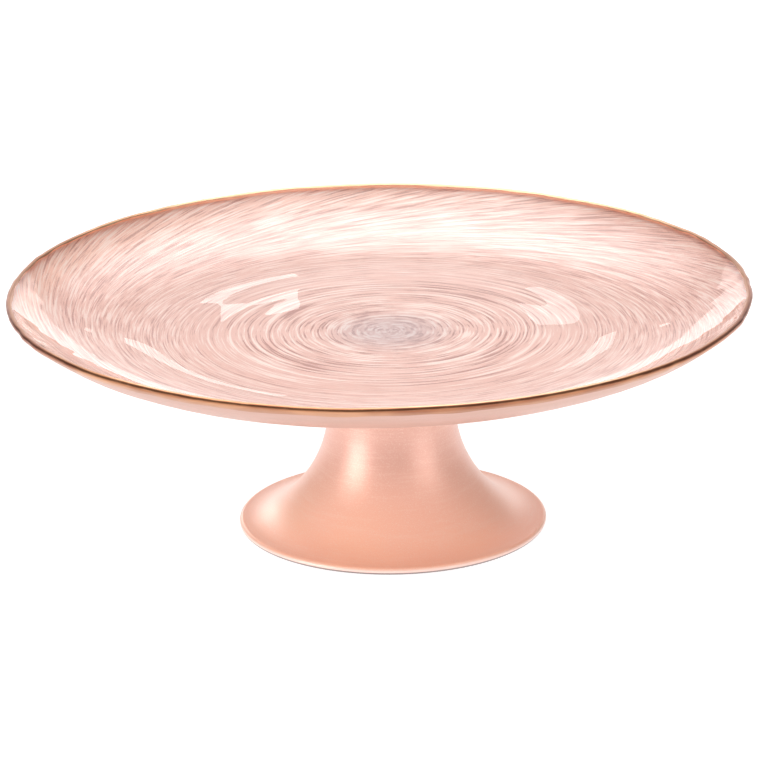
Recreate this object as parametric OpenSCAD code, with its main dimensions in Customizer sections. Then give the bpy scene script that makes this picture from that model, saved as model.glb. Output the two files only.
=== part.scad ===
// Footed cake stand: a shallow glass plate that curls up at its rim, pearl-lacquered
// on its back and gilded along its edge, bonded to a hollow lacquered glass foot.
// Z is the axis of the plate, and the stand rests on Z = 0.

/* [Plate] */
// Diameter of the glass plate over its rounded edge
plate_d = 320; // [260:1:400]
// Height of the rim above the table
rim_h = 107; // [92:1:160]
// Depth of the dish, from the top of the rim down to the floor
dish_depth = 19; // [12:0.5:28]
// Diameter of the flat floor, where the wall begins to rise
floor_d = 136; // [90:1:180]
// How late and how tightly the wall curls up: the power that it rises by
curl = 4; // [2:0.5:6]
// Thickness of the glass in the floor
floor_t = 4; // [3:0.1:7]
// Thickness of the glass at the edge, which is rounded over
edge_t = 2.4; // [1.8:0.1:3.6]

/* [Foot] */
// Diameter of the foot where it stands
foot_d = 134; // [114:1:170]
// Diameter of the neck at its waist
waist_d = 55; // [40:1:68]
// Radius of the hollow curve that sweeps down from the waist
flare_r = 58; // [48:1:80]
// Radius of the tighter curve that lays the flare out flat
brim_r = 26; // [16:1:30]
// How far the neck spreads again on each side, from the waist up to the plate
neck_spread = 3.4; // [1:0.2:8]
// Thickness of the foot's rounded edge
foot_edge_t = 2.7; // [2:0.1:5]
// Width of the flat ring that the foot stands on
rest_w = 6; // [3:0.5:12]
// Wall of the hollow foot
foot_wall = 3; // [2:0.1:5]
// Thickness of the pad that closes the foot under the plate
pad_t = 5; // [3:0.5:10]
// How far the foot stands off the axis of the plate, towards +X
foot_shift = 5; // [0:0.5:10]

/* [Finishes] */
// Thickness of the pearl lacquer under the plate
plate_coat_t = 0.2; // [0.1:0.05:0.5]
// Thickness of the pearl lacquer outside the foot
foot_coat_t = 0.2; // [0.1:0.05:0.5]
// Thickness of the gilding
gilt_t = 0.15; // [0.1:0.05:0.4]
// How far the gilding reaches in from the middle of the rounded edge
gilt_w = 1.4; // [0.6:0.1:6]

/* [Bond] */
// Thickness of the clear adhesive between the foot and the plate
bond_t = 0.4; // [0.2:0.1:1]
// How far the adhesive stays inside the rim of the foot's pad
bond_inset = 3; // [1:0.5:8]

/* [Hidden] */

$fn = 96;
curve_steps = 20; // straight steps along each long curve
round_steps = 10; // straight steps round each rounded edge
cut_past = 1; // how far a cut runs on past the face that it opens

clear_glass = "#e6f0ee";
pearl_pink = "#eec4b8";
gold = "#b98650";
clear_adhesive = "#dcdccc";
salmon_pearl = "#f0b096";

// The plate is drawn about the middle of its glass
floor_r = floor_d / 2;
floor_z = rim_h - dish_depth - floor_t / 2;
edge_r = (plate_d - edge_t) / 2;
edge_z = rim_h - edge_t / 2;
wall_run = edge_r - floor_r;
wall_rise = edge_z - floor_z;
gilt_from = 1 - gilt_w / wall_run;

// The foot's outline is four arcs: edge, brim, flare and neck
pad_top = floor_z - floor_t / 2 - plate_coat_t - bond_t;
pad_r = waist_d / 2 + neck_spread;
foot_edge_r = foot_edge_t / 2;
foot_edge_at = [foot_d / 2 - foot_edge_r, foot_edge_r];
brim_at = [foot_edge_at.x, foot_edge_t + brim_r];
flare_x = waist_d / 2 + flare_r;
waist_z = brim_at.y + sqrt(pow(flare_r - brim_r, 2) - pow(flare_x - brim_at.x, 2));
flare_at = [flare_x, waist_z];
meet_a = 360 + atan2(brim_at.y - waist_z, brim_at.x - flare_x);
neck_rise = pad_top - waist_z;
neck_r = (pow(neck_rise, 2) + pow(neck_spread, 2)) / (2 * neck_spread);
neck_at = [waist_d / 2 + neck_r, waist_z];
coat_from = -60; // where on the edge the lacquer stops, short of the table

// The hollow inside the foot follows the brim, flare and neck, one wall further in
hollow_top = pad_top - pad_t;
mouth_a = 180 + acos(rest_w / (brim_r + foot_wall));
mouth_r = brim_at.x - rest_w;

// Points of an arc about a centre, from angle a to angle b
function arc(at, r, a, b, steps) =
  [for (i = [0:steps]) let (t = a + (b - a) * i / steps) at + r * [cos(t), sin(t)]];

function reversed(points) = [for (i = [len(points) - 1:-1:0]) points[i]];
function after_first(points) = [for (i = [1:len(points) - 1]) points[i]];

// The wall of the plate at the share s of the way from the floor to the edge
function wall_slope(s) = atan(wall_rise * curl * pow(s, curl - 1) / wall_run);
function wall_t(s) = floor_t + (edge_t - floor_t) * s;

// A point on a face of the wall (1 is the upper face, -1 the back), raised by a gap
function wall_point(s, face, gap = 0) =
  [floor_r + wall_run * s, floor_z + wall_rise * pow(s, curl)]
  + face * (wall_t(s) / 2 + gap) * [-sin(wall_slope(s)), cos(wall_slope(s))];

// A face of the plate from its axis out to the gilding
function plate_face(face, gap = 0) =
  concat(
    [[0, floor_z + face * (floor_t / 2 + gap)]],
    [for (i = [0:curve_steps]) wall_point(gilt_from * i / curve_steps, face, gap)]
  );

// The rim under the gilding, from the upper face round the edge to the back
function rim_wrap(gap = 0) =
  concat(
    [wall_point(gilt_from, 1, gap)],
    arc([edge_r, edge_z], edge_t / 2 + gap, wall_slope(1) + 90, wall_slope(1) - 90, round_steps),
    [wall_point(gilt_from, -1, gap)]
  );

// How far round a neck arc of radius r has turned at a height
function lean_at(z, r) = asin((z - waist_z) / r);

// Brim, flare and neck one after another, on the foot's own axis: outside at gap 0,
// further out for a positive gap and further in for a negative one
function foot_curve(gap, from_a, top_z) =
  concat(
    arc(brim_at, brim_r - gap, from_a, meet_a, curve_steps),
    after_first(arc(flare_at, flare_r - gap, meet_a, 180, curve_steps)),
    after_first(arc(neck_at, neck_r - gap, 180, 180 - lean_at(top_z, neck_r - gap), round_steps))
  );

// The whole outside of the foot, from a place on its rounded edge up to the pad
function foot_outside(from_a, gap = 0) =
  concat(
    arc(foot_edge_at, foot_edge_r + gap, from_a, 90, round_steps),
    after_first(foot_curve(gap, 270, pad_top))
  );

module turned(outline) {
  rotate_extrude()
    polygon(outline);
}

module on_foot_axis() {
  translate([foot_shift, 0, 0])
    children();
}

// Clear glass plate, slumped to shape, with a fire-rounded edge
module glass_plate() {
  color(clear_glass)
    turned(concat(plate_face(-1), after_first(reversed(rim_wrap())), after_first(reversed(plate_face(1)))));
}

// Pearl lacquer over the whole back of the plate, as far as the gilding
module plate_lacquer() {
  color(pearl_pink)
    turned(concat(plate_face(-1), reversed(plate_face(-1, plate_coat_t))));
}

// Gilding brushed round the edge and a little way down both faces
module gilt_rim() {
  color(gold)
    turned(concat(rim_wrap(), reversed(rim_wrap(gilt_t))));
}

// Clear adhesive between the lacquered plate and the foot's pad
module adhesive_bond() {
  color(clear_adhesive)
    on_foot_axis()
      translate([0, 0, pad_top])
        cylinder(h = bond_t, r = pad_r - bond_inset);
}

// Pressed glass foot: a hollow trumpet closed by a flat pad at its top
module glass_foot() {
  color(clear_glass)
    on_foot_axis()
      difference() {
        turned(concat([[0, 0]], foot_outside(-90), [[0, pad_top]]));
        turned(concat(
          [[0, -cut_past], [mouth_r, -cut_past]],
          foot_curve(-foot_wall, mouth_a, hollow_top),
          [[0, hollow_top]]
        ));
      }
}

// Satin pearl lacquer over the outside of the foot
module foot_lacquer() {
  color(salmon_pearl)
    on_foot_axis()
      turned(concat(foot_outside(coat_from), reversed(foot_outside(coat_from, foot_coat_t))));
}

glass_plate();
plate_lacquer();
gilt_rim();
adhesive_bond();
glass_foot();
foot_lacquer();
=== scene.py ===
import math
import bpy
import numpy as np
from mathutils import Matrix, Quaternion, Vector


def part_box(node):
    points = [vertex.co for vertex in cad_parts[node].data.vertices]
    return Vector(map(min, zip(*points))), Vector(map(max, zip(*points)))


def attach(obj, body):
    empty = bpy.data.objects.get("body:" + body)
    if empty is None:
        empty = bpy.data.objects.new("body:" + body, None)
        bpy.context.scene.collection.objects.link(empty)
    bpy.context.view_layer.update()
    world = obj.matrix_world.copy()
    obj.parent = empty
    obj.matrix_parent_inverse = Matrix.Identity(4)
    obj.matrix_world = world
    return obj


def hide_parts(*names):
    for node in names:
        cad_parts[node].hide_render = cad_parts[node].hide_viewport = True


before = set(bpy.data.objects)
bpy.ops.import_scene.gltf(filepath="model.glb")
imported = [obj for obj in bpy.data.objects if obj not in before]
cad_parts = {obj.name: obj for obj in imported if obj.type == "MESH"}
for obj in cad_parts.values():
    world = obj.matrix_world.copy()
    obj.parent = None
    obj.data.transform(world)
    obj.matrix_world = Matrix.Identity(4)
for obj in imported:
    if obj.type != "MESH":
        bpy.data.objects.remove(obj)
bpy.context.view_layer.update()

# ---------------------------------------------------------------------------
# Glass foot: a hollow trumpet of pressed clear glass, closed at its top by a
# flat pad. It stands on a flat ring. Its outside is lacquered, so the bare
# glass is seen only from below.
# ---------------------------------------------------------------------------
foot_low, foot_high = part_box("glass_foot")
foot_x = (foot_low[0] + foot_high[0]) / 2
foot_r = (foot_high[0] - foot_low[0]) / 2
pad_z = foot_high[2]
waist_r = 0.0275
flare_r = 0.058
brim_r = 0.026
neck_spread = 0.0034
foot_edge_r = 0.00135
rest_w = 0.006
foot_wall = 0.003
pad_t = 0.005

brim_at = (foot_r - foot_edge_r, 2 * foot_edge_r + brim_r)
flare_x = waist_r + flare_r
waist_z = brim_at[1] + math.sqrt((flare_r - brim_r) ** 2 - (flare_x - brim_at[0]) ** 2)
meet_a = 2 * math.pi + math.atan2(brim_at[1] - waist_z, brim_at[0] - flare_x)
neck_r = ((pad_z - waist_z) ** 2 + neck_spread**2) / (2 * neck_spread)


def arc(at, radius, start, end, steps):
    """Points (r, z) of an arc about a centre."""
    turn = np.linspace(start, end, steps + 1)
    return np.stack([at[0] + radius * np.cos(turn), at[1] + radius * np.sin(turn)], 1)


def foot_curve(gap, start, top):
    """Brim, flare and neck of the foot from below up to a height, moved out by a gap."""
    lean = math.asin((top - waist_z) / (neck_r - gap))
    return np.concatenate([
        arc(brim_at, brim_r - gap, start, meet_a, 40),
        arc((flare_x, waist_z), flare_r - gap, meet_a, math.pi, 60)[1:],
        arc((waist_r + neck_r, waist_z), neck_r - gap, math.pi, math.pi - lean, 30)[1:],
    ])


def foot_outside(gap, start):
    """The whole outside of the foot, from a place on its rounded edge up to the pad."""
    edge = arc((brim_at[0], foot_edge_r), foot_edge_r + gap, start, math.pi / 2, 12)
    return np.concatenate([edge, foot_curve(gap, 1.5 * math.pi, pad_z)[1:]])


def turned(name, r, z, around, x=0.0):
    """A mesh turned about an upright axis at x. Row i of r and z is one ring; a ring of radius 0
    is a single point. An outline that doesn't start on the axis closes on itself."""
    r = np.broadcast_to(np.reshape(r, (len(r), -1)), (len(r), around))
    z = np.broadcast_to(np.reshape(z, (len(z), -1)), (len(z), around))
    turn = np.arange(around) * 2 * math.pi / around
    points, rings = [], []
    count = 0
    for ring_r, ring_z in zip(r, z):
        on_axis = ring_r.max() < 1e-9
        if on_axis:
            points.append([[x, 0.0, ring_z[0]]])
            rings.append(np.full(around, count))
            count += 1
        else:
            points.append(np.stack([x + ring_r * np.cos(turn), ring_r * np.sin(turn), ring_z], 1))
            rings.append(count + np.arange(around))
            count += around
    if r[0].max() >= 1e-9:
        rings.append(rings[0])
    faces = []
    for low, high in zip(rings, rings[1:]):
        quads = np.stack([low, np.roll(low, -1), np.roll(high, -1), high], 1)
        if low[0] == low[1]:
            quads = quads[:, [0, 2, 3]]
        elif high[0] == high[1]:
            quads = quads[:, :3]
        faces += quads.tolist()
    mesh = bpy.data.meshes.new(name)
    mesh.from_pydata(np.concatenate(points).tolist(), [], faces)
    mesh.shade_smooth()
    mesh.set_sharp_from_angle(angle=math.radians(40))
    piece = bpy.data.objects.new(name, mesh)
    bpy.context.collection.objects.link(piece)
    return piece


class Wire:
    """One value in a finish. An expression on it adds the Math nodes."""

    def __init__(self, nodes, socket):
        self.nodes, self.socket = nodes, socket

    def math(self, operation, *others):
        return self.nodes.add("Math", {"operation": operation}, dict(enumerate([self, *others])))

    def __add__(self, other):
        return self.math("ADD", other)

    def __sub__(self, other):
        return self.math("SUBTRACT", other)

    def __rsub__(self, other):
        return self.nodes.add("Math", {"operation": "SUBTRACT"}, {0: other, 1: self})

    def __mul__(self, other):
        return self.math("MULTIPLY", other)

    def __truediv__(self, other):
        return self.math("DIVIDE", other)

    def __abs__(self):
        return self.math("ABSOLUTE")

    __radd__ = __add__
    __rmul__ = __mul__

    def root(self):
        return self.math("SQRT")

    def step(self, start, end):
        """0 below start, 1 above end and an even curve between them."""
        evenly = {"interpolation_type": "SMOOTHSTEP"}
        return self.nodes.add("MapRange", evenly, {"Value": self, "From Min": start, "From Max": end})


class Nodes:
    """The nodes of one finish."""

    def __init__(self, tree):
        self.tree = tree
        tree.nodes.clear()

    def add(self, kind, settings, values, out=0):
        """Adds a node from its type, its settings and the values or links of its sockets. It gives
        back the output named by out, or each output in a list."""
        node = self.tree.nodes.new("ShaderNode" + kind)
        for key, value in settings.items():
            setattr(node, key, value)
        for key, value in values.items():
            if isinstance(value, Wire):
                self.tree.links.new(value.socket, node.inputs[key])
            else:
                node.inputs[key].default_value = value
        if isinstance(out, list):
            return [Wire(self, node.outputs[name]) for name in out]
        return Wire(self, node.outputs[out]) if len(node.outputs) else None

    def place(self):
        """Where a point of the object is, in metres in the object's own frame."""
        return self.add("TexCoord", {}, {}, "Object")

    def parts(self, vector):
        return self.add("SeparateXYZ", {}, {"Vector": vector}, ["X", "Y", "Z"])

    def about(self, axis_x):
        """A point's x and y from an upright axis, its height and its distance from that axis."""
        x, y, z = self.parts(self.place())
        across = x - axis_x
        return across, y, z, (across * across + y * y).root()

    def vector(self, x=0.0, y=0.0, z=0.0):
        return self.add("CombineXYZ", {}, {"X": x, "Y": y, "Z": z})

    def noise(self, vector, scale, detail=2.0, rough=0.5):
        return self.add("TexNoise", {}, {
            "Vector": vector, "Scale": scale, "Detail": detail, "Roughness": rough,
        })

    def blend(self, share, first, second):
        """One colour turning into another."""
        first, second = (c if isinstance(c, Wire) else (*c, 1) for c in (first, second))
        return self.add("Mix", {"data_type": "RGBA"}, {0: share, 6: first, 7: second}, 2)

    def bump(self, height, depth):
        """A relief of height 0 to 1 that is depth metres deep."""
        return self.add("Bump", {}, {"Height": height, "Distance": depth})

    def paint(self, values):
        """The one shader that most finishes are made of."""
        return self.add("BsdfPrincipled", {}, values)

    def finish(self, shader):
        self.add("OutputMaterial", {}, {"Surface": shader})


def new_finish(name):
    material = bpy.data.materials.new(name)
    material.use_nodes = True
    return material, Nodes(material.node_tree)


def dress(piece, material, node):
    """Gives a piece its finish and its place in the record."""
    if material.name not in piece.data.materials:
        piece.data.materials.append(material)
    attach(piece, "root")
    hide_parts(node)


def clear_glass(name, ripple_scale, ripple_depth):
    """Clear soda glass that lets the studio light through, with the faint ripple of its making."""
    material, nodes = new_finish(name)
    ripple = nodes.noise(nodes.place(), ripple_scale, 1.0)
    glass = nodes.paint({
        "Base Color": (0.97, 0.985, 0.98, 1),
        "Roughness": 0.0,
        "IOR": 1.5,
        "Transmission Weight": 1.0,
        "Normal": nodes.bump(ripple, ripple_depth),
    })
    lit = nodes.add("LightPath", {}, {}, "Is Shadow Ray")
    through = nodes.add("BsdfTransparent", {}, {})
    nodes.finish(nodes.add("MixShader", {}, {0: lit, 1: glass, 2: through}))
    return material


mouth_a = math.pi + math.acos(rest_w / (brim_r + foot_wall))
hollow = foot_curve(-foot_wall, mouth_a, pad_z - pad_t)
foot_outline = np.concatenate([
    [[0.0, pad_z - pad_t]],
    hollow[::-1],
    [[brim_at[0] - rest_w, 0.0]],
    foot_outside(0.0, -math.pi / 2),
    [[0.0, pad_z]],
])
glass_foot = turned("glass_foot_pressed", foot_outline[:, 0], foot_outline[:, 1], 192, foot_x)
dress(glass_foot, clear_glass("pressed_clear_glass", 60.0, 0.0001), "glass_foot")

# ---------------------------------------------------------------------------
# Foot lacquer: satin salmon pearl, sprayed over the outside of the foot while
# it turned, so it keeps faint rings. It stops on the rounded edge, short of
# the table, and bites a little into the glass.
# ---------------------------------------------------------------------------
foot_coat_t = 0.0002
coat_bite = 0.00005
coat_from = -math.pi / 3
coat_outline = np.concatenate([
    foot_outside(foot_coat_t, coat_from),
    foot_outside(-coat_bite, coat_from)[::-1],
])
foot_coat = turned("foot_lacquer_satin", coat_outline[:, 0], coat_outline[:, 1], 256, foot_x)

material, nodes = new_finish("satin_salmon_pearl")
place = nodes.place()
across, y, z, radius = nodes.about(foot_x)
up_the_skin = nodes.vector(across * 40, y * 40, (z + radius * 0.6) * 1300)
rings = nodes.noise(up_the_skin, 1.0, 4.0, 0.7)
cloud = nodes.noise(place, 22.0, 3.0)
grain = nodes.noise(place, 2600.0, 1.0)
# Painted shade and light: the lacquer is darker on the neck, where the plate shades it, and lighter and more
# orange low on the flare and brim.
low = 1 - z.step(0.0, 0.045)
colour = nodes.blend(low, (0.81, 0.46, 0.37), (1.0, 0.60, 0.43))
colour = nodes.blend(cloud.step(0.35, 0.7) * 0.35, colour, (0.92, 0.56, 0.46))
colour = nodes.blend(rings.step(0.48, 0.66) * 0.2, colour, (1.0, 0.72, 0.60))
colour = nodes.blend(grain.step(0.52, 0.72) * 0.45, colour, (1.0, 0.80, 0.70))
# Painted highlight: a pale band along the rounded edge of the brim.
colour = nodes.blend((1 - z.step(0.0016, 0.0026)) * 0.7, colour, (1.0, 0.78, 0.72))
# Painted shadow: a dark line at the very bottom of the edge, where it meets the table.
colour = nodes.blend((1 - z.step(0.0007, 0.0012)) * 0.9, colour, (0.17, 0.12, 0.12))
nodes.finish(nodes.paint({
    "Base Color": colour,
    "Metallic": 0.3 - low * 0.2,
    "Roughness": 0.30 + rings * 0.14,
    "Specular IOR Level": 0.35,
    "Coat Weight": 0.6,
    "Coat Roughness": 0.4,
    "Coat IOR": 1.5,
    "Normal": nodes.bump(rings * 0.6 + grain * 0.4, 0.00012),
}))
dress(foot_coat, material, "foot_lacquer")

# ---------------------------------------------------------------------------
# Adhesive bond: a disc of clear glue between the foot's pad and the back of
# the plate, drawn in a little round its edge where it cured.
# ---------------------------------------------------------------------------
bond_low, bond_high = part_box("adhesive_bond")
bond_r = (bond_high[0] - bond_low[0]) / 2
bond_t = bond_high[2] - bond_low[2]
bulge = np.linspace(0, 1, 9)
bond_outline = np.concatenate([
    [[0.0, bond_low[2]]],
    np.stack([bond_r - 0.8 * bond_t * np.sin(math.pi * bulge), bond_low[2] + bond_t * bulge], 1),
    [[0.0, bond_high[2]]],
])
bond = turned("adhesive_bond_disc", bond_outline[:, 0], bond_outline[:, 1], 96, foot_x)
material, nodes = new_finish("cured_clear_adhesive")
bubbles = nodes.noise(nodes.place(), 900.0, 2.0)
nodes.finish(nodes.paint({
    "Base Color": nodes.blend(bubbles.step(0.45, 0.75), (0.80, 0.79, 0.72), (0.93, 0.92, 0.88)),
    "Roughness": 0.2 + bubbles * 0.3,
    "Transmission Weight": 0.6,
    "Normal": nodes.bump(bubbles, 0.00005),
}))
dress(bond, material, "adhesive_bond")

# ---------------------------------------------------------------------------
# Glass plate: one sheet of clear glass slumped into a shallow dish, with its
# edge rounded by fire. The rim sways a little, as hand-cut glass does, and
# the upper face keeps slow ripples that break up what it reflects.
# ---------------------------------------------------------------------------
plate_low, plate_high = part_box("glass_plate")
plate_r = (plate_high[0] - plate_low[0]) / 2
floor_t = 0.004
edge_t = 0.0024
floor_r = 0.068
curl = 4
edge_r = plate_r - edge_t / 2
edge_z = plate_high[2] - edge_t / 2
floor_z = plate_low[2] + floor_t / 2
wall_run = edge_r - floor_r
wall_rise = edge_z - floor_z
chance = np.random.default_rng(11)


def wall_slope(share):
    return np.arctan(wall_rise * curl * share ** (curl - 1) / wall_run)


def face_point(share, face, gap=0.0):
    """A point (r, z) of the plate, by its share of the way from the floor's edge to the rim."""
    share = np.asarray(share)
    climb = np.clip(share, 0, None)
    lean = wall_slope(climb)
    off = face * ((floor_t + (edge_t - floor_t) * climb) / 2 + gap)
    return np.stack([
        floor_r + wall_run * share - off * np.sin(lean),
        floor_z + wall_rise * climb**curl + off * np.cos(lean),
    ], -1)


def harmonics(turn, first, last, size):
    """A closed wave round the rim made of the harmonics first to last, of that rms size."""
    total = 0
    for k in range(first, last + 1):
        total = total + chance.normal() * np.cos(k * turn + chance.uniform(0, 2 * math.pi))
    return size * total / np.std(total)


around = 360
turn = np.arange(around) * 2 * math.pi / around
rim_out = harmonics(turn, 2, 6, 0.00022) + harmonics(turn, 9, 26, 0.00012) + harmonics(turn, 30, 90, 0.00007)
rim_up = harmonics(turn, 2, 5, 0.00018) + harmonics(turn, 8, 24, 0.00007)


def sway(r, z):
    """Moves rings of the plate by the unevenness of its rim, which fades out down the wall."""
    share = np.clip((r - 0.6 * plate_r) / (0.4 * plate_r), 0, 1) ** 2
    at = np.arange(r.shape[1]) * around / r.shape[1]
    out, up = (np.interp(at, np.arange(around), uneven, period=around) for uneven in (rim_out, rim_up))
    return r + share * out, z + share * up


def ripples(r):
    """The slow ripples of the upper face: a few uneven rings round the foot's axis."""
    total = 0
    for length, size in ((0.041, 0.000006), (0.023, 0.000003), (0.0137, 0.0000015)):
        phase = harmonics(turn, 1, 6, 0.5)
        total = total + size * np.sin(2 * math.pi * r / length + phase + chance.uniform(0, 2 * math.pi))
    return total * np.clip((edge_r - r) / 0.02, 0, 1)


def ring_shares(steps, end=1.0):
    """Evenly spaced shares of the wall from the axis out to a place near the rim."""
    start = -floor_r / wall_run
    return np.linspace(start, end, steps + 1)[1:]


def rings_of(outline):
    return outline[:, :1] + 0 * turn, outline[:, 1:] + 0 * turn


upper = face_point(ring_shares(130), 1)
back = face_point(ring_shares(60), -1)
edge_lean = float(wall_slope(1.0))
edge = arc((edge_r, edge_z), edge_t / 2, edge_lean - math.pi / 2, edge_lean + math.pi / 2, 12)[1:-1]
r_back, z_back = sway(*rings_of(back))
r_edge, z_edge = sway(*rings_of(edge))
r_up, z_up = rings_of(upper[::-1])
z_up = z_up + ripples(r_up)
r_up, z_up = sway(r_up, z_up)
axis = np.zeros((1, around))
glass_plate = turned(
    "glass_plate_slumped",
    np.concatenate([axis, r_back, r_edge, r_up, axis]),
    np.concatenate([axis + z_back[0, 0], z_back, z_edge, z_up, axis + z_up[-1].mean()]),
    around,
)
dress(glass_plate, clear_glass("slumped_clear_glass", 50.0, 0.000005), "glass_plate")

# ---------------------------------------------------------------------------
# Plate lacquer: pink pearl brushed on the back of the glass while the plate
# turned, with rings in the middle and shorter strokes that swing out to the
# rim. The glass shows its front, and from below its back is plain satin.
# ---------------------------------------------------------------------------
plate_coat_t = 0.0002
comb_depth = 0.0001
coat_end = 0.994
front = face_point(ring_shares(200, coat_end), -1, -coat_bite)
behind = face_point(ring_shares(60, coat_end), -1, plate_coat_t)
r_front, z_front = sway(*rings_of(front))
swirl_r = np.hypot(r_front * np.cos(turn) - foot_x, r_front * np.sin(turn))
comb = sum(
    np.sin(2 * math.pi * swirl_r / pitch + harmonics(turn, 1, 4, 0.8))
    for pitch in (0.0031, 0.0047, 0.0074)
) / 3
z_front = z_front + comb_depth * (0.5 + 0.5 * comb)
r_behind, z_behind = sway(*rings_of(behind))
plate_coat = turned(
    "plate_lacquer_swirled",
    np.concatenate([axis, r_behind, r_front[::-1], axis]),
    np.concatenate([axis + z_behind[0, 0], z_behind, z_front[::-1], axis + z_front[0].mean()]),
    around,
)

material, nodes = new_finish("pink_pearl_swirls")
place = nodes.place()
across, y, z, radius = nodes.about(foot_x)
angle = y.math("ARCTAN2", across)
stroke_lean = radius.step(0.090, 0.160) * 0.20


def ring_strokes(width, length):
    """Long strokes that run round the middle."""
    round_and_out = nodes.vector(across / radius * length, y / radius * length, radius / width)
    return nodes.noise(round_and_out, 1.0, 3.0, 0.6)


def swung_strokes(width, length, sectors, shift):
    """Strokes that swing outward, drawn sector by sector, and how far each place is from the edge
    of its sector."""
    spread = 2 * math.pi / sectors
    count = angle / spread + shift
    number = count.math("ROUND")
    local = (count - number) * spread
    slant = radius + radius * local * stroke_lean
    number = number.math("WRAP", sectors, 0.0)
    along_and_out = nodes.vector(slant / width, radius * local / length, number * 13.7)
    strokes = nodes.noise(along_and_out, 1.0, 3.0, 0.6)
    inside = 1 - abs(local / (spread / 2))
    return strokes - 0.5, inside.step(0.0, 1.0)


def outer_strokes(width, length, sectors):
    """Two sets of sectors laid over each other, so that no sector's edge shows."""
    one, near_one = swung_strokes(width, length, sectors, 0.0)
    two, near_two = swung_strokes(width, length, sectors, 0.5)
    weight = (near_one * near_one + near_two * near_two).root()
    return (one * near_one + two * near_two) / weight + 0.5


outer = radius.step(0.060, 0.100)
wide = ring_strokes(0.0019, 1.0) * (1 - outer) + outer_strokes(0.0009, 0.032, 12) * outer
fine = ring_strokes(0.0010, 2.0) * (1 - outer) + outer_strokes(0.0005, 0.020, 14) * outer
strokes = wide * 0.52 + fine * 0.48
faint = 1 - outer * 0.25
crest = strokes.step(0.51, 0.57)
trough = 1 - strokes.step(0.42, 0.47)
grain = nodes.noise(place, 1900.0, 1.0)
cloud = nodes.noise(place, 9.0, 3.0)
middle = 1 - radius.step(0.008, 0.034)
colour = nodes.blend(cloud.step(0.35, 0.65), (0.84, 0.54, 0.47), (0.87, 0.58, 0.51))
# Painted light: a warm salmon glow on the lacquer near the rim, standing in for light carried through the
# thick glass edge.
colour = nodes.blend(radius.step(0.146, 0.158) * 0.5, colour, (1.0, 0.66, 0.52))
# The strokes are darker in their grooves and paler on their ridges: partly the lacquer's own streaks, partly
# painted shade in the grooves and painted highlight on the ridges.
colour = nodes.blend(trough * faint * 0.9, colour, (0.50, 0.24, 0.20))
colour = nodes.blend(crest * faint * 0.8, colour, (1.0, 0.86, 0.79))
colour = nodes.blend(middle * 0.5, colour, (0.52, 0.43, 0.46))
colour = nodes.blend(grain.step(0.58, 0.80) * 0.5, colour, (1.0, 0.93, 0.88))
nodes.finish(nodes.paint({
    "Base Color": colour,
    "Metallic": 0.3,
    "Roughness": 0.44 - crest * 0.12,
    "Specular IOR Level": 0.7,
    "Coat Weight": 0.2 + crest * 0.6,
    "Coat Roughness": 0.32,
    "Coat IOR": 1.8,
    "Normal": nodes.bump(strokes * 0.85 + grain * 0.15, 0.0003),
}))
plate_coat.data.materials.append(material)

material, nodes = new_finish("satin_pink_back")
place = nodes.place()
across, y, z, radius = nodes.about(foot_x)
streaks = nodes.noise(nodes.vector(across / radius * 3.0, y / radius * 3.0, radius * 260), 1.0, 3.0, 0.6)
grain = nodes.noise(place, 2600.0, 1.0)
colour = nodes.blend(streaks.step(0.35, 0.65), (0.66, 0.39, 0.31), (0.71, 0.43, 0.36))
colour = nodes.blend(grain.step(0.55, 0.8) * 0.2, colour, (1.0, 0.80, 0.72))
nodes.finish(nodes.paint({
    "Base Color": colour,
    "Metallic": 0.3,
    "Roughness": 0.32 + streaks * 0.12,
    "Specular IOR Level": 0.6,
    "Normal": nodes.bump(streaks * 0.8 + grain * 0.2, 0.00004),
}))
plate_coat.data.materials.append(material)
behind_faces = around * (len(behind) + 1)
for face in plate_coat.data.polygons[:behind_faces]:
    face.material_index = 1
dress(plate_coat, material, "plate_lacquer")

# ---------------------------------------------------------------------------
# Gilding: copper gold brushed by hand round the edge, over an orange size
# that shows through the glass. It reaches further down the back than the
# front, and its lower line wavers. Its colour holds painted light: a cream
# painted highlight on top of the edge, a dark brown painted reflection on
# its outer side, and painted shade that makes it darker and redder at its
# left and right sides.
# ---------------------------------------------------------------------------
gilt_t = 0.00015
gilt_in = 0.0014 / wall_run
rim_steps = 720
rim_turn = np.arange(rim_steps) * 2 * math.pi / rim_steps
inner_line = 1 - gilt_in * (0.25 + np.clip(harmonics(rim_turn, 5, 70, 0.10), -0.15, 0.3))
lower_line = 1 - gilt_in * (1.3 + np.clip(harmonics(rim_turn, 5, 60, 0.22), -0.2, 0.9))
over_lacquer = 0.00012
face_steps = 4
edge_steps = 16


def gilt_skin(gap, gap_on_back):
    """Rings of one side of the gilding, from its lower line on the back over the edge."""
    on_back = [
        face_point(lower_line + (1 - lower_line) * i / face_steps, -1, gap_on_back)
        for i in range(face_steps)
    ]
    start, end = edge_lean - math.pi / 2, edge_lean + math.pi / 2
    over_edge = [
        np.tile(point, (rim_steps, 1))
        for point in arc((edge_r, edge_z), edge_t / 2 + gap, start, end, edge_steps)
    ]
    on_top = [
        face_point(1 + (inner_line - 1) * (i + 1) / face_steps, 1, gap)
        for i in range(face_steps)
    ]
    rings = np.array(on_back + over_edge + on_top)
    return rings[..., 0], rings[..., 1]


outer_r, outer_z = gilt_skin(gilt_t, gilt_t + over_lacquer)
inner_r, inner_z = gilt_skin(-coat_bite, -coat_bite)
brushed = 0.000012 * harmonics(rim_turn, 20, 160, 1.0).clip(-1.2, 1.2)
r_gilt = np.concatenate([outer_r + brushed, inner_r[::-1]])
z_gilt = np.concatenate([outer_z + brushed, inner_z[::-1]])
gilding = turned("gilt_rim_brushed", *sway(r_gilt, z_gilt), rim_steps)


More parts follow.
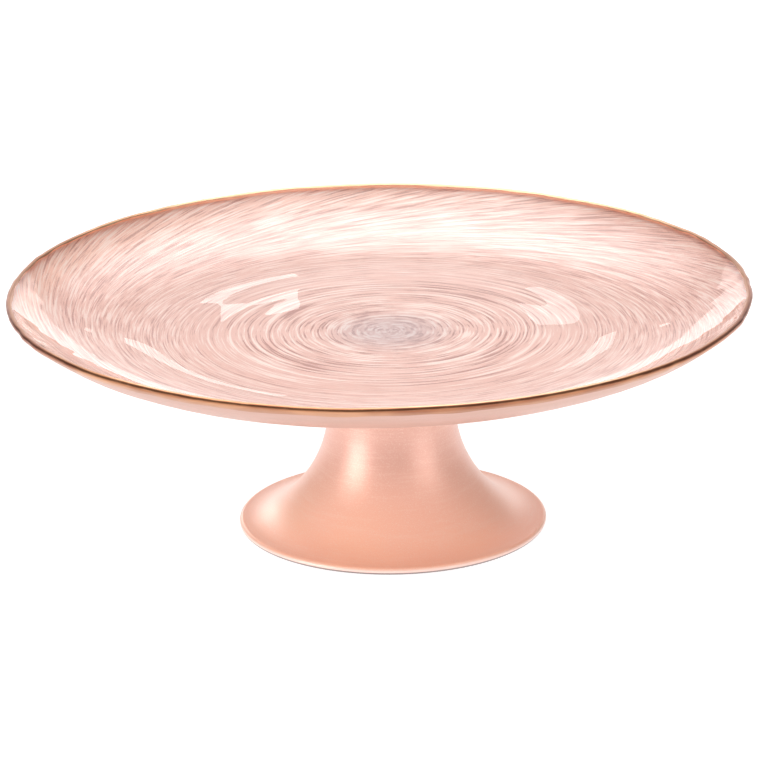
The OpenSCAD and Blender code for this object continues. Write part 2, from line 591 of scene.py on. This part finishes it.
def brush_drag(nodes, x, y, z, radius):
    """Fine lines that the brush left along the edge."""
    along_the_edge = nodes.vector(x / radius * 26, y / radius * 26, (z + radius) * 1400)
    return nodes.noise(along_the_edge, 1.0, 3.0, 0.6)


material, nodes = new_finish("brushed_copper_gold")
x, y, z, radius = nodes.about(0.0)
over = ((z - edge_z) * math.cos(edge_lean) - (radius - edge_r) * math.sin(edge_lean)) / (edge_t / 2)
drag = brush_drag(nodes, x, y, z, radius)
patch = nodes.noise(nodes.vector(x / radius * 7, y / radius * 7, z * 90), 1.0, 2.0)
copper = nodes.blend(patch.step(0.35, 0.65), (0.56, 0.28, 0.17), (0.70, 0.38, 0.23))
brown = nodes.blend(patch.step(0.35, 0.65), (0.36, 0.14, 0.08), (0.52, 0.23, 0.12))
# Painted reflection and highlight: the outer side of the edge is dark brown and the top of the edge cream,
# by which way each part of the edge faces.
colour = nodes.blend(over.step(-1.2, -0.7) * (1 - drag.step(0.5, 0.8) * 0.6), copper, brown)
colour = nodes.blend(over.step(0.3, 1.0) * 0.6, colour, (1.0, 0.70, 0.44))
# Painted shade: the gilding is darker and redder towards its left and right sides.
painted_shade_sides = abs(x / radius).step(0.72, 0.96)
colour = nodes.blend(painted_shade_sides * 0.65, colour, (0.42, 0.17, 0.12))
nodes.finish(nodes.paint({
    "Base Color": colour,
    "Metallic": 1.0,
    "Roughness": 0.22 + drag * 0.22,
    "Normal": nodes.bump(drag, 0.00008),
}))
gilding.data.materials.append(material)

# The size is given a faint painted glow, standing in for the light that the glass pipes to its edge.
material, nodes = new_finish("orange_gilding_size")
x, y, z, radius = nodes.about(0.0)
drag = brush_drag(nodes, x, y, z, radius)
size_colour = nodes.blend(drag.step(0.35, 0.7), (0.82, 0.40, 0.25), (0.95, 0.58, 0.40))
nodes.finish(nodes.paint({
    "Base Color": size_colour,
    "Metallic": 0.0,
    "Roughness": 0.35 + drag * 0.2,
    "Emission Color": size_colour,
    "Emission Strength": 0.22,
    "Normal": nodes.bump(drag, 0.00005),
}))
gilding.data.materials.append(material)
outer_faces = rim_steps * len(outer_r)
for face in gilding.data.polygons[outer_faces:]:
    face.material_index = 1
dress(gilding, material, "gilt_rim")

# ---------------------------------------------------------------------------
# Studio: a white table top in a dim white room. The wall behind is bright up
# to a little over the horizon, higher at its sides, with a wide soft light
# and two small far cards above it. Four panels light only the foot.
# ---------------------------------------------------------------------------
table = bpy.data.meshes.new("table_top")
half = 3.0
corners = [(-half, -half, 0), (half, -half, 0), (half, half, 0), (-half, half, 0)]
table.from_pydata(corners, [], [(0, 1, 2, 3)])
table_top = bpy.data.objects.new("table_top", table)
table_top.location.z = -0.0003
bpy.context.collection.objects.link(table_top)
material, nodes = new_finish("white_table_paper")
nodes.finish(nodes.paint({
    "Base Color": (0.3, 0.3, 0.3, 1),
    "Roughness": 1.0,
    "Specular IOR Level": 0.0,
    "Emission Color": (1, 1, 1, 1),
    "Emission Strength": 0.95,
}))
table.materials.append(material)


def rise(degrees):
    """The height of a direction of length 1 that points so many degrees above the horizon."""
    return math.sin(math.radians(degrees))


room = bpy.data.worlds.new("white_room")
bpy.context.scene.world = room
room.use_nodes = True
nodes = Nodes(room.node_tree)
x, y, z = nodes.parts(nodes.add("TexCoord", {}, {}, "Generated"))
level = (x * x + y * y).root()
behind = (y / level).step(0.84, 0.96)
over_wall = z - abs(x) * 0.43
wall = (1 - over_wall.step(rise(9), rise(10)) * 0.6 - z.step(rise(10), rise(24)) * 0.4) * behind
aside = abs(x + 0.05).step(0.20, 0.58)
high_up = z.step(rise(21), rise(50)) * (1 - z.step(rise(68), rise(86)) * 0.45)
soft_light = high_up * (1 - aside) * y.step(-0.35, 0.05)
overhead = z.step(rise(50), rise(75))
seen = nodes.add("LightPath", {}, {}, "Is Camera Ray")
lit_room = nodes.add("Background", {}, {"Strength": wall * 1.9 + soft_light * 3.8 + overhead * 0.35 + 0.28})
white = nodes.add("Background", {}, {"Strength": 1.0, "Color": (1, 1, 1, 1)})
nodes.add("OutputWorld", {}, {"Surface": nodes.add("MixShader", {}, {0: seen, 1: lit_room, 2: white})})


def softbox(name, place, target, size, power, mirrored=True, lights=()):
    """A rectangular lamp that faces a point, unseen by the camera. Gloss mirrors it unless mirrored
    is False, and lights names the only pieces that it lights, if it doesn't light them all."""
    lamp = bpy.data.lights.new(name, "AREA")
    lamp.shape = "RECTANGLE"
    lamp.size, lamp.size_y = size
    lamp.energy = power
    box = bpy.data.objects.new(name, lamp)
    box.location = place
    facing = np.array(target) - np.array(place)
    away = math.hypot(facing[0], facing[1])
    box.rotation_euler = (math.atan2(away, -facing[2]), 0, math.atan2(-facing[0], facing[1]))
    box.visible_camera = False
    box.visible_glossy = mirrored
    if lights:
        box.light_linking.receiver_collection = bpy.data.collections.new(name + "_lights")
        for piece in lights:
            box.light_linking.receiver_collection.objects.link(piece)
    bpy.context.collection.objects.link(box)


def round_the_stand(turn, height, distance):
    """A place at a turn (degrees, 0 behind the stand, growing clockwise from above) and an elevation."""
    turn, height = math.radians(turn), math.radians(height)
    out = distance * math.cos(height)
    return out * math.sin(turn), out * math.cos(turn), distance * math.sin(height)


middle_of_plate = (0, 0, 0.09)
neck = (foot_x, 0, 0.045)
softbox("overhead_softbox", (0, 0.1, 1.4), middle_of_plate, (1.4, 1.4), 2.4, mirrored=False)
softbox("left_panel", round_the_stand(-122, 13, 1.1), neck, (0.5, 0.6), 5.4, lights=[foot_coat])
softbox("right_panel", round_the_stand(126, 13, 1.1), neck, (0.7, 0.6), 2.5, lights=[foot_coat])
softbox("back_left_panel", round_the_stand(-24, 19, 1.4), neck, (0.4, 0.3), 1.6, lights=[foot_coat])
softbox("back_right_panel", round_the_stand(24, 19, 1.4), neck, (0.3, 0.2), 0.1, lights=[foot_coat])
softbox("front_fill", round_the_stand(180, 30, 1.6), neck, (1.2, 0.8), 4.5, mirrored=False)
softbox("left_card", round_the_stand(-2.1, 17.72, 20.0), middle_of_plate, (0.52, 0.22), 0.44)
softbox("right_card", round_the_stand(3.08, 17.9, 20.0), middle_of_plate, (0.42, 0.25), 0.32)

# ---------------------------------------------------------------------------
# Camera: a long lens straight in front of the stand and a little above it,
# looking down, and rolled very slightly to one side.
# ---------------------------------------------------------------------------
camera = bpy.data.cameras.new("camera")
camera.lens = 188.8
camera.sensor_width = 36
camera.clip_start, camera.clip_end = 0.05, 50
camera_stand = bpy.data.objects.new("camera", camera)
bpy.context.collection.objects.link(camera_stand)
look_down = 0.32937
roll = -0.01392
camera_stand.location = (foot_x - 0.0049, -1.6363, 0.6238)
camera_stand.rotation_mode = "QUATERNION"
tilt = Quaternion((1, 0, 0), math.pi / 2 - look_down)
camera_stand.rotation_quaternion = tilt @ Quaternion((0, 0, 1), roll)
bpy.context.scene.camera = camera_stand
bpy.context.scene.view_settings.view_transform = "Standard"
